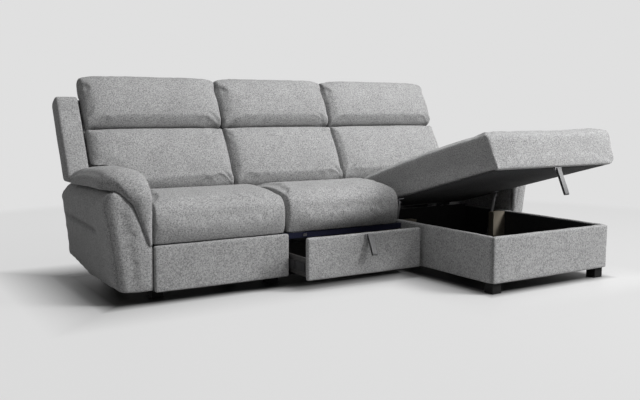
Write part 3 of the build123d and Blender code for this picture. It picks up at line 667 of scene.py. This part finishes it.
    @staticmethod
    def relax(obj: bpy.types.Object, passes: int) -> None:
        """Round an object's edges off by smoothing its points.

        Args:
            obj: The object.
            passes: How often its points are smoothed.
        """
        work = bmesh.new()
        work.from_mesh(obj.data)
        axes = {"use_axis_x": True, "use_axis_y": True, "use_axis_z": True}
        for _ in range(passes):
            bmesh.ops.smooth_vert(work, verts=work.verts, factor=0.5, **axes)
        work.to_mesh(obj.data)
        work.free()


@dataclass(frozen=True)
class Seam:
    """A sewn line where a plane crosses a piece, on the side that faces one way."""

    point: Vector
    normal: Vector
    depth: float = 0.006
    width: float = 0.007
    facing: Vector = Vector((0, 0, 0))
    least: float = -1.0
    # Painted shade in the groove, partly the darker stitching.
    tint: float = 1.0

    def amount(self, places: np.ndarray, normals: np.ndarray) -> np.ndarray:
        """How much of the seam each point of a surface has.

        Args:
            places: The surface's points, one row each.
            normals: The outward directions at these points.

        Returns:
            A share from 0 to 1 for each point.
        """
        away = (places - np.array(self.point)) @ np.array(self.normal) / self.width
        shown = normals @ np.array(self.facing) >= self.least
        return np.exp(-away * away) * shown


@dataclass(frozen=True)
class Dart:
    """A short crease between two places on the outer side of an arm."""

    start: Vector
    end: Vector
    facing: Vector
    depth: float = 0.014
    width: float = 0.018
    # Painted shade in the crease.
    tint: float = 0.6
    least: float = 0.5
    taper: float = 5.0
    tip: float = 0.1

    def amount(self, places: np.ndarray, normals: np.ndarray) -> np.ndarray:
        """How much of the crease each point of a surface has.

        Args:
            places: The surface's points, one row each.
            normals: The outward directions at these points.

        Returns:
            A share from 0 to 1 for each point.
        """
        run = np.array((self.end - self.start).yz)
        rows = places[:, 1:] - np.array(self.start.yz)
        along = rows @ run / (run @ run)
        away = rows @ np.array((-run[1], run[0])) / np.linalg.norm(run) / self.width
        ends = np.clip(np.minimum(along, 1 - along) * self.taper + self.tip, 0, 1)
        shown = normals @ np.array(self.facing) >= self.least
        return np.exp(-away * away) * ends * shown


@dataclass(frozen=True)
class Ridge:
    """A sewn line along the edge where an arm's pad turns from its top to its outer side."""

    outward: Vector
    turned: float = 0.62
    spread: float = 0.16
    depth: float = 0.002
    # Painted shade along the line, partly the darker stitching.
    tint: float = 0.55
    least: float = 0.3

    def amount(self, places: np.ndarray, normals: np.ndarray) -> np.ndarray:
        """How much of the line each point of a surface has.

        Args:
            places: The surface's points, one row each.
            normals: The outward directions at these points.

        Returns:
            A share from 0 to 1 for each point.
        """
        away = (normals @ np.array(self.outward) - self.turned) / self.spread
        up = np.clip(normals[:, 2] - normals[:, 1], 0, 1)
        return np.exp(-away * away) * (up > self.least)


@dataclass(frozen=True)
class Filling:
    """How a cover behaves while its filling swells it."""

    steps: int = 20
    quality: int = 3
    mass: float = 0.25
    stretch: float = 12.0
    bend: float = 3.0
    held_facing: float = 0.8


FILLING = Filling()


@dataclass
class Cushion:
    """A padded piece that starts from its solids, swells like a filled cover and is sewn."""

    nodes: tuple[str, ...]
    body: str
    rests: Vector
    fill: float = 0.7
    voxel: float = 0.009
    inset: float = 0.005
    swell: float = 0.010
    pressure: float = 4.0
    round_passes: int = 3
    crease: float = 0.0012
    crease_size: float = 0.11
    hulls: int = 0
    low_grow: Vector = Vector((0, 0.002, 0.001))
    high_grow: Vector = Vector((0, 0.002, 0.002))
    free_front: float = 9.0
    square: float = 0.0
    flare: float = 0.0
    tuck: float = 0.0
    tuck_reach: float = 0.050
    roll: float = 0.0
    roll_reach: float = 0.12
    refined: bool = True
    lined: Vector = Vector((0, 0, 0))
    seams: list[Seam | Dart | Ridge] = field(default_factory=list)
    finish: ClothFinish = UPHOLSTERY
    corner_power: ClassVar[int] = 6
    flare_power: ClassVar[int] = 3
    flare_rise: ClassVar[float] = 0.4
    flare_lift: ClassVar[float] = 0.2
    roll_height: ClassVar[float] = 0.6
    free_blend: ClassVar[float] = 0.05
    small_creases: ClassVar[float] = 2.5
    sewn_facing: ClassVar[float] = 0.6
    lined_facing: ClassVar[float] = 0.75
    lined_drop: ClassVar[float] = 0.012

    def limits(self) -> tuple[np.ndarray, np.ndarray]:
        """The lowest and highest corner of the solids that the piece stands for."""
        boxes = [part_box(node) for node in self.nodes]
        return np.min([box[0] for box in boxes], axis=0), np.max([box[1] for box in boxes], axis=0)

    def start(self) -> bpy.types.Object:
        """Copy the solids into even quads, drawn in a little so that they can swell.

        Returns:
            The piece to shape.
        """
        name = f"{self.nodes[0]}_soft"
        obj = Form.piece(name, Form.mesh(Form.copy(self.nodes, self.hulls), name))
        Form.remesh(obj, self.voxel)
        Form.relax(obj, self.round_passes)
        Form.place(obj.data, Form.points(obj.data) - Form.normals(obj.data) * self.inset)
        return obj

    def inflate(self, obj: bpy.types.Object) -> None:
        """Swell a piece by cloth simulation, held where it rests on something.

        Args:
            obj: The piece.
        """
        scene = bpy.context.scene
        held = obj.vertex_groups.new(name="held")
        facing = Form.normals(obj.data) @ np.array(self.rests)
        held.add(np.nonzero(facing > FILLING.held_facing)[0].tolist(), 1.0, "REPLACE")
        before = Form.points(obj.data)
        cloth = obj.modifiers.new("filling", "CLOTH")
        settings = cloth.settings
        settings.quality = FILLING.quality
        settings.mass = FILLING.mass
        settings.tension_stiffness = settings.compression_stiffness = FILLING.stretch
        settings.bending_stiffness = FILLING.bend
        settings.use_pressure = True
        settings.uniform_pressure_force = self.pressure
        settings.vertex_group_mass = held.name
        settings.effector_weights.gravity = 0.0
        cloth.collision_settings.use_collision = False
        cloth.point_cache.frame_start = 1
        cloth.point_cache.frame_end = FILLING.steps
        for step in range(1, FILLING.steps + 1):
            scene.frame_set(step)
        graph = bpy.context.evaluated_depsgraph_get()
        move = Form.points(obj.evaluated_get(graph).to_mesh()) - before
        length = np.maximum(np.linalg.norm(move, axis=1, keepdims=True), 1e-9)
        obj.modifiers.clear()
        Form.place(obj.data, before + move * np.minimum(1.0, self.swell / length))
        obj.vertex_groups.clear()
        scene.frame_set(1)

    def fit(self, obj: bpy.types.Object) -> None:
        """Stretch a piece to the size of its solids, and a little over on its free sides.

        Args:
            obj: The piece.
        """
        low, high = self.limits()
        low, high = low - np.array(self.low_grow), high + np.array(self.high_grow)
        rows = Form.points(obj.data)
        least, most = rows.min(axis=0), rows.max(axis=0)
        rows = low + (rows - least) * (high - low) / (most - least)
        across = 2 * (rows[:, 0] - low[0]) / (high[0] - low[0]) - 1
        away = np.abs(across) ** self.corner_power
        right = np.clip(across, 0, 1) ** self.flare_power
        lift = rows @ -np.array(self.rests)
        top = np.clip((lift - lift.min()) / (lift.max() - lift.min()), 0, 1)
        rows[:, 0] += self.flare * top ** self.flare_rise * right
        fore = np.clip(1 - (rows[:, 1] - low[1]) / self.roll_reach, 0, 1)
        rows[:, 1] += self.roll * fore * np.clip(1 - top / self.roll_height, 0, 1) ** 2
        height = rows @ np.array((0, -self.rests.z, self.rests.y))
        low_edge = np.clip(1 - (height - height.min()) / self.tuck_reach, 0, 1) ** 2
        pushed = self.square * away + self.flare_lift * self.flare * right - self.tuck * low_edge
        Form.place(obj.data, rows - np.array(self.rests) * (pushed * top)[:, None])

    def hold(self, obj: bpy.types.Object) -> None:
        """Keep a piece out of its neighbours at both ends and at its resting side.

        Args:
            obj: The piece.
        """
        low, high = self.limits()
        rows = Form.points(obj.data)
        free = np.clip((self.free_front - rows[:, 1]) / self.free_blend, 0, 1)
        left = low[0] - self.low_grow.x * free
        right = high[0] + (self.high_grow.x + self.flare) * free
        rows[:, 0] = np.clip(rows[:, 0], left, right)
        rests = np.array(self.rests)
        solids = [Form.points(frame["nodes"][node].data) for node in self.nodes]
        past = np.maximum(rows @ rests - (np.concatenate(solids) @ rests).max(), 0.0)
        Form.place(obj.data, rows - past[:, None] * rests)

    def sew(self, obj: bpy.types.Object) -> None:
        """Sink the seams, add soft creases, and keep the seams' painted shade, partly the darker
        stitching, for the cover's colour.

        Args:
            obj: The piece.
        """
        places = Form.points(obj.data)
        normals = Form.normals(obj.data)
        sunk = np.zeros(len(places))
        line = np.zeros(len(places))
        for seam in self.seams:
            amount = seam.amount(places, normals)
            sunk = np.maximum(sunk, amount * seam.depth)
            # Painted shade along each sewn line and crease, partly the darker stitching.
            line = np.maximum(line, seam.tint * amount ** 2)
        wide, small = 1 / self.crease_size, self.small_creases / self.crease_size
        ripple = np.array([
            noise.noise(place * wide) + 0.5 * noise.noise(place * small)
            for place in map(Vector, places)
        ])
        free = normals @ np.array(self.rests) < self.sewn_facing
        depth = (sunk + self.crease * ripple) * free
        Form.place(obj.data, places - normals * depth[:, None])
        Form.shade(obj.data, line)

    def line(self, obj: bpy.types.Object) -> None:
        """Give the inner side of a box's wall the dark lining.

        Args:
            obj: The wall's cover.
        """
        obj.data.materials.append(Paint.of(LINING))
        low, high = self.limits()
        middle = (low + high) / 2
        for face in obj.data.polygons:
            towards = face.normal.dot(self.lined)
            if self.lined.x:
                towards = -face.normal.x * math.copysign(1.0, face.center.x - middle[0])
            if towards > self.lined_facing and face.center.z < high[2] - self.lined_drop:
                face.material_index = 1

    def build(self) -> bpy.types.Object:
        """Make the piece and join it to the frame.

        Returns:
            The finished piece.
        """
        obj = self.start()
        if self.swell:
            self.inflate(obj)
        self.fit(obj)
        self.hold(obj)
        if self.refined:
            Form.refine(obj)
        self.sew(obj)
        self.hold(obj)
        obj.data.materials.clear()
        obj.data.materials.append(Paint.of(self.finish))
        if self.lined.length:
            self.line(obj)
        obj.data.shade_smooth()
        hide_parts(*self.nodes)
        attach(obj, self.body)
        LOG.info("cushion %s: %d faces", obj.name, len(obj.data.polygons))
        return obj


@dataclass
class Panel:
    """A thin flat cover or lining with soft edges."""

    node: str
    body: str
    slot: str = "upholstery"
    edge: float = 0.0022
    finish: ClothFinish = UPHOLSTERY
    soft: bool = True
    fill: float = 0.9
    flat: ClassVar[float] = math.radians(2)
    sharp: ClassVar[float] = 0.6

    def build(self) -> bpy.types.Object:
        """Make the cover and join it to the frame.

        Returns:
            The finished cover.
        """
        work = Form.copy((self.node,))
        bmesh.ops.dissolve_limit(work, angle_limit=self.flat, verts=work.verts, edges=work.edges)
        corners = [
            edge for edge in work.edges
            if edge.is_manifold and edge.calc_face_angle(0.0) > self.sharp
        ]
        bmesh.ops.bevel(
            work, geom=corners, offset=self.edge, offset_type="OFFSET", affect="EDGES", segments=2,
            profile=0.5, clamp_overlap=True, material=-1,
        )
        obj = Form.piece(f"{self.node}_cloth", Form.mesh(work, f"{self.node}_cloth"))
        obj.data.materials.clear()
        obj.data.materials.append(Paint.of(self.finish))
        obj.data.set_sharp_from_angle(angle=math.radians(35))
        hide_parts(self.node)
        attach(obj, self.body)
        LOG.info("panel %s: %d faces", obj.name, len(obj.data.polygons))
        return obj


@dataclass
class Seats:
    """The two fixed seats."""

    square: float = 0.024
    roll: float = 0.024

    def build(self) -> None:
        """Make both seat cushions, close the line between them and paint shade along it."""
        left, middle = (
            Cushion(
                (node,), "frame", Vector((0, 0, -1)), 0.7, square=self.square, roll=self.roll,
            ).build()
            for node in ("left_seat_cushion", "middle_seat_cushion")
        )
        Form.nip(left, middle)
        Form.nip(middle, left)


@dataclass
class Back:
    """The leaning back: headrests over lumbar cushions, and the wing at the left end."""

    lean: float = math.radians(26.1)
    swell: float = 0.009
    tuck: float = 0.016

    def build(self) -> None:
        """Make the back cushions and the wing."""
        rests = Vector((0, math.cos(self.lean), -math.sin(self.lean)))
        for place in ("left", "middle", "right"):
            lumbar = Cushion((f"{place}_lumbar",), "frame", rests, 0.75, swell=self.swell).build()
            head = Cushion(
                (f"{place}_headrest",), "frame", rests, 0.75, swell=self.swell, tuck=self.tuck,
            ).build()
            Form.nip(head, lumbar, 0.008, 0.003)
            Form.nip(lumbar, head, 0.008, 0.003)
        Cushion(
            ("left_wing",), "frame", Vector((1, 0, 0)), 0.9, voxel=0.008, swell=0.0, inset=0.002,
            round_passes=5, low_grow=Vector((0.018, 0, 0.014)), high_grow=Vector((0, 0.010, 0.016)),
        ).build()


@dataclass
class Arms:
    """The arms, each a flared body under a pad that rolls over its front."""

    dart_rear: Vector = Vector((0, 0.665, 0.330))
    dart_front: Vector = Vector((0, 0.110, 0.303))
    seam_inset: float = 0.040

    def build(self) -> None:
        """Make both arms."""
        for side in Side:
            name = side.name.lower()
            outward = Vector((side.value, 0, 0))
            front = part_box(f"{name}_arm_body")[0][1]
            # The front sewn line and the dart paint shade into their grooves.
            seam = Seam(
                Vector((0, front + self.seam_inset, 0)), Vector((0, 1, 0)), depth=0.005,
                width=0.010, facing=outward, least=0.25, tint=0.5,
            )
            dart = Dart(self.dart_rear, self.dart_front, outward)
            body = Cushion(
                (f"{name}_arm_body",), "frame", -outward, 0.85, voxel=0.010, swell=0.006,
                inset=0.003, round_passes=5, hulls=1, seams=[dart, seam],
            ).build()
            pad = Cushion(
                (f"{name}_arm_pad",), "frame", Vector((0, 0, -1)), 0.75, voxel=0.007, swell=0.010,
                inset=0.002, round_passes=4, seams=[Ridge(outward)],
            ).build()
            Form.nip(body, pad, 0.012, 0.006)
            Form.nip(pad, body, 0.010, 0.003)


@dataclass
class Lid:
    """The lifting seat of the chaise and its lining."""

    tilt: float = math.radians(15)
    bulge: float = 0.022
    flare: float = 0.075
    setback: float = -0.016
    pull_room: float = 0.002
    arm_room: float = 0.03
    square: float = 0.016

    def build(self) -> None:
        """Make the seat of the lid, wrapped round its board, and the cloth under it."""
        out = Vector((0, math.sin(self.tilt), math.cos(self.tilt)))
        Cushion(
            ("lid_cushion", "lid_board"), "lid", -out, 0.85, voxel=0.0112, swell=0.016, inset=0.003,
            hulls=1, round_passes=5, low_grow=Vector((self.setback, -self.pull_room, 0)),
            high_grow=Vector((self.bulge, 0.002, 0.002)), square=self.square, flare=self.flare,
            free_front=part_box("right_arm_body")[0][1] - self.arm_room,
        ).build()
        Panel("lid_lining", "lid", "dark_cloth", 0.0004, LINING, False).build()


@dataclass
class Covers:
    """The fabric over the boards of the base, the chaise box and the drawer."""

    lid_room: float = 0.003

    def build(self) -> None:
        """Make each cover."""
        rear, across = Vector((0, 1, 0)), Vector((1, 0, 0))
        wall = {
            "fill": 0.9, "voxel": 0.006, "inset": 0.0, "swell": 0.0, "refined": False,
            "round_passes": 4,
        }
        for name, body in (("left_front", "frame"), ("drawer_front", "drawer")):
            Cushion((f"{name}_cover", f"{name}_board"), body, rear, hulls=1, **wall).build()
        wall["high_grow"] = Vector((0, 0.002, -self.lid_room))
        front = Cushion(
            ("chaise_front_cover", "chaise_front_board"), "frame", rear,
            hulls=1, lined=rear, **wall,
        ).build()
        sides = Cushion(
            ("chaise_side_covers", "chaise_side_boards"), "frame", rear,
            hulls=2, lined=across, **wall,
        ).build()
        Form.nip(front, sides, 0.008, 0.002)
        Form.nip(sides, front, 0.008, 0.002)
        for node in ("rear_base_cover", "outer_back_cover"):
            Panel(node, "frame").build()
        Panel("dust_cover", "frame", "dark_cloth", 0.0005, LINING, False).build()


@dataclass
class Pulls:
    """The two leather straps that open the drawer and the lid, each folded into a loop."""

    width: float = 0.026
    gap: float = 0.013
    leather: float = 0.0024

    def strap(self, node: str, out: Vector) -> None:
        """Fold one strap where its solid hangs.

        Args:
            node: The strap's node, which is also the body that it swings with.
            out: The direction away from the front that it hangs on.
        """
        rows = Form.points(frame["nodes"][node].data)
        middle = rows.mean(axis=0)
        flat = rows[:, 1:] - middle[1:]
        run = np.linalg.svd(flat, full_matrices=False)[2][0]
        down = Vector((0, run[0], run[1]))
        if down.z > 0:
            down.negate()
        face = Vector((1, 0, 0)).cross(down)
        if face.dot(out) < 0:
            face.negate()
        along = rows @ np.array(down)
        back = (rows @ np.array(face)).min()
        radius = self.gap / 2
        work = bmesh.new()
        bmesh.ops.create_circle(work, segments=24, radius=radius)
        length = along.max() - along.min() - 2 * radius
        for vertex in work.verts:
            vertex.co.y += length / 2 * math.copysign(1.0, vertex.co.y)
        loop = bmesh.ops.extrude_edge_only(work, edges=work.edges[:])
        raised = [item for item in loop["geom"] if isinstance(item, bmesh.types.BMVert)]
        bmesh.ops.translate(work, verts=raised, vec=(0, 0, self.width))
        bmesh.ops.translate(work, verts=work.verts, vec=(0, 0, -self.width / 2))
        bmesh.ops.solidify(work, geom=work.faces[:], thickness=self.leather)
        bmesh.ops.recalc_face_normals(work, faces=work.faces)
        centre = Vector((middle[0], 0, 0)) + down * ((along.max() + along.min()) / 2)
        centre += face * (back + radius + self.leather)
        turn = Matrix((face, down, Vector((1, 0, 0)))).transposed().to_4x4()
        bmesh.ops.transform(work, matrix=Matrix.Translation(centre) @ turn, verts=work.verts)
        bmesh.ops.recalc_face_normals(work, faces=work.faces)
        obj = Form.piece(f"{node}_strap", Form.mesh(work, f"{node}_strap"))
        obj.data.set_sharp_from_angle(angle=math.radians(40))
        obj.data.materials.append(Paint.of(PULL_LEATHER))
        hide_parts(node)
        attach(obj, node)

    def build(self) -> None:
        """Make both straps."""
        for node in ("drawer_pull", "lid_pull"):
            self.strap(node, Vector((0, -1, 0)))


@dataclass
class Fittings:
    """The hard parts of the frame, which keep their solids and get their finishes."""

    dark: tuple[str, ...] = (
        "base_dividers", "rear_seat_rail", "rear_base_board", "chaise_rear_board",
        "chaise_floor_board",
    )
    covered: tuple[str, ...] = ("back_posts", "back_rails")

    def finish(self, node: str, slot: str) -> Finish:
        """Choose the finish of a node.

        Args:
            node: The node's name.
            slot: Its material slot.

        Returns:
            The finish of the slot, or another where the node shows otherwise.
        """
        if node in self.dark:
            return LINING
        if node in self.covered:
            return UPHOLSTERY
        if node.startswith(("slide_", "hinge_")):
            return DARK_STEEL
        return NAVY if node == "drawer_header" else SLOT_FINISHES[slot]

    def build(self) -> None:
        """Give every node of the frame its finish."""
        slots = {part["node"]: part["material_slot"] for part in frame["record"]["subparts"]}
        for node, obj in frame["nodes"].items():
            for slot in obj.material_slots:
                slot.material = Paint.of(self.finish(node, slots[node]))


@dataclass(frozen=True)
class Lamp:
    """A square soft lamp, with its power in watts and its side in metres."""

    name: str
    place: Vector
    aim: Vector
    power: float
    size: float

    def hang(self) -> None:
        """Add the lamp to the scene, pointed at its aim."""
        data = bpy.data.lights.new(self.name, "AREA")
        data.energy = self.power
        data.shape = "SQUARE"
        data.size = self.size
        obj = bpy.data.objects.new(self.name, data)
        obj.location = self.place
        obj.rotation_euler = (self.aim - self.place).to_track_quat("-Z", "Y").to_euler()
        bpy.context.scene.collection.objects.link(obj)


@dataclass
class Studio:
    """The floor, the light and the camera."""

    back: float = 0.745
    floor_tone: float = 0.68
    floor_bounce: float = 0.40
    # Tone of the painted shadow on the floor under the sofa.
    floor_shade: float = 0.03
    room_light: float = 0.175
    lamps: tuple[Lamp, ...] = (
        Lamp("key", Vector((3.2, -3.3, 3.5)), Vector((0.0, 0.1, 0.4)), 245.0, 1.6),
        Lamp("top", Vector((0.6, -0.9, 4.0)), Vector((-0.3, 0.3, 0.5)), 74.0, 2.4),
    )
    eye: Vector = Vector((-2.2429, -3.2816, 0.8448))
    turn: float = math.radians(-31.915)
    dip: float = math.radians(6.406)
    lens: float = 44.70

    @staticmethod
    def seen(graph: Graph) -> bpy.types.NodeSocket:
        """Tell the rays that show the backdrop, to the camera, in metal and in glass.

        Args:
            graph: The graph that asks.

        Returns:
            The socket that is 1 for such a ray.
        """
        path = graph.add("ShaderNodeLightPath").outputs
        direct = graph.math("MAXIMUM", path["Is Camera Ray"], path["Is Glossy Ray"])
        return graph.math("MAXIMUM", direct, path["Is Transmission Ray"])

    def floor(self) -> None:
        """Lay a pale floor that fades into the backdrop's tone, with a painted shadow under the
        sofa.
        """
        work = bmesh.new()
        bmesh.ops.create_grid(work, x_segments=8, y_segments=8, size=30.0)
        obj = Form.piece("floor", Form.mesh(work, "floor"))
        made, graph = blank("floor")
        place = graph.add("ShaderNodeTexCoord").outputs["Object"]
        reach = graph.add("ShaderNodeVectorMath", {0: place}, operation="LENGTH").outputs["Value"]
        sofa = (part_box("left_arm_body")[0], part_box("right_arm_body")[1])
        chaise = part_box("chaise_side_covers")
        near = graph.math("MINIMUM", graph.outside(place, sofa), graph.outside(place, chaise))
        close = graph.spread(near, 0.02, 0.32, 0.0, 0.85)
        fade = graph.math("MAXIMUM", close, graph.spread(reach, 1.5, 4.0, 0.0, 1.0))
        # Painted shadow: the floor turns near black under the sofa's footprint.
        under = graph.spread(near, -0.05, 0.05, 0.0, 1.0)
        seen = self.seen(graph)
        bare = graph.mix(seen, grey(self.floor_bounce), grey(self.floor_tone))
        tone = graph.mix(under, grey(self.floor_shade), bare)
        values = {"Base Color": tone, "Roughness": 0.45, "Specular IOR Level": 0.3}
        lit = graph.add("ShaderNodeBsdfPrincipled", values)
        glow = graph.add("ShaderNodeEmission", {"Color": grey(self.back)})
        both = {0: graph.math("MULTIPLY", fade, seen), 1: lit.outputs[0], 2: glow.outputs[0]}
        surface = graph.add("ShaderNodeMixShader", both)
        graph.add("ShaderNodeOutputMaterial", {"Surface": surface.outputs[0]})
        obj.data.materials.append(made)

    def world(self) -> None:
        """Light the room softly, with a plain pale backdrop behind the sofa."""
        world = bpy.data.worlds.new("studio")
        bpy.context.scene.world = world
        world.use_nodes = True
        graph = Graph(world.node_tree)
        light = {"Color": grey(1.0), "Strength": self.room_light}
        soft = graph.add("ShaderNodeBackground", light)
        shown = graph.add("ShaderNodeBackground", {"Color": grey(self.back), "Strength": 1.0})
        both = {0: self.seen(graph), 1: soft.outputs[0], 2: shown.outputs[0]}
        mixed = graph.add("ShaderNodeMixShader", both)
        graph.add("ShaderNodeOutputWorld", {"Surface": mixed.outputs[0]})

    def camera(self) -> None:
        """Set the camera at the photograph's place, measured from the seats' front."""
        data = bpy.data.cameras.new("view")
        data.lens = self.lens
        data.sensor_width = 36.0
        obj = bpy.data.objects.new("view", data)
        seat_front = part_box("left_front_cover")[0][1]
        obj.location = self.eye + Vector((0, seat_front, 0))
        obj.rotation_euler = (math.radians(90) - self.dip, 0, self.turn)
        bpy.context.scene.collection.objects.link(obj)
        bpy.context.scene.camera = obj

    def build(self) -> None:
        """Set up the whole studio."""
        self.floor()
        self.world()
        for lamp in self.lamps:
            lamp.hang()
        self.camera()


def main() -> None:
    """Build every part of the sofa and the studio round it."""
    logging.basicConfig(level=logging.INFO, format="%(message)s")
    bpy.context.scene.view_settings.view_transform = "Standard"
    for part in (Fittings(), Seats(), Back(), Arms(), Lid(), Covers(), Pulls()):
        part.build()
        LOG.info("built %s", type(part).__name__)
    Studio().build()


if __name__ == "__main__":
    main()
